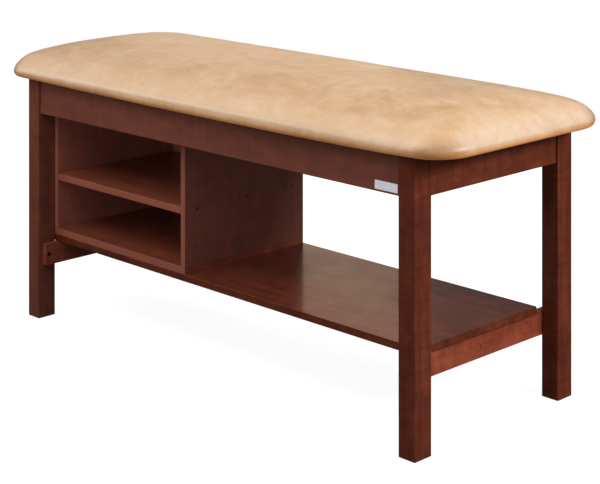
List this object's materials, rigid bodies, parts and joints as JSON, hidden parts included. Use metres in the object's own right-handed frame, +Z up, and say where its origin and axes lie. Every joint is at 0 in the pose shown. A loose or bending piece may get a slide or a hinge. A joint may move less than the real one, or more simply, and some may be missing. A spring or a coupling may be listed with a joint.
{
  "type": "medical exam table",
  "caption": "Fixed-height wooden exam table with a crowned vinyl top, square legs, a full-length lower shelf and an open storage unit at one end.",
  "frame": {"origin": "on the floor under the middle of the table", "axes": "+X along the length with the storage unit at -X, -Y towards the open front of the storage unit, +Z up"},
  "size_m": [1.829, 0.61, 0.7979],
  "materials": {
    "stained_wood": "reddish brown stain under a glossy lacquer",
    "raw_wood": "unfinished",
    "plywood": "unfinished plywood",
    "tan_vinyl": "soft satin, mottled tan",
    "foam": "open-cell foam",
    "zinc_steel": "zinc plated",
    "dark_steel": "black oxide",
    "glide_plastic": "matte",
    "label_film": "satin white film"
  },
  "bodies": {
    "root": {"apron_dowels": "raw_wood", "apron_front": "stained_wood", "apron_left": "stained_wood", "apron_rear": "stained_wood", "apron_right": "stained_wood", "back_panel_screws": "zinc_steel", "blank_label": "label_film", "corner_block_screws": "zinc_steel", "corner_blocks": "raw_wood", "cover_staples": "zinc_steel", "end_stretcher_left": "stained_wood", "end_stretcher_right": "stained_wood", "floor_glides": "glide_plastic", "foam_pad": "foam", "hanger_bolts": "zinc_steel", "hanger_nuts": "zinc_steel", "hanger_washers": "zinc_steel", "leg_front_left": "stained_wood", "leg_front_right": "stained_wood", "leg_rear_left": "stained_wood", "leg_rear_right": "stained_wood", "long_shelf": "stained_wood", "mid_shelf_screws": "dark_steel", "rail_screws": "zinc_steel", "shelf_centre_rail": "stained_wood", "shelf_screws": "zinc_steel", "storage_back_panel": "stained_wood", "storage_bottom": "stained_wood", "storage_carcase_screws": "zinc_steel", "storage_divider": "stained_wood", "storage_fixing_screws": "zinc_steel", "storage_left_side": "stained_wood", "storage_mid_shelf": "stained_wood", "storage_top": "stained_wood", "stretcher_bolts": "dark_steel", "stretcher_inserts": "zinc_steel", "top_baseboard": "plywood", "top_bracket_screws": "zinc_steel", "top_brackets": "zinc_steel", "vinyl_cover": "tan_vinyl"}
  },
  "joints": []
}
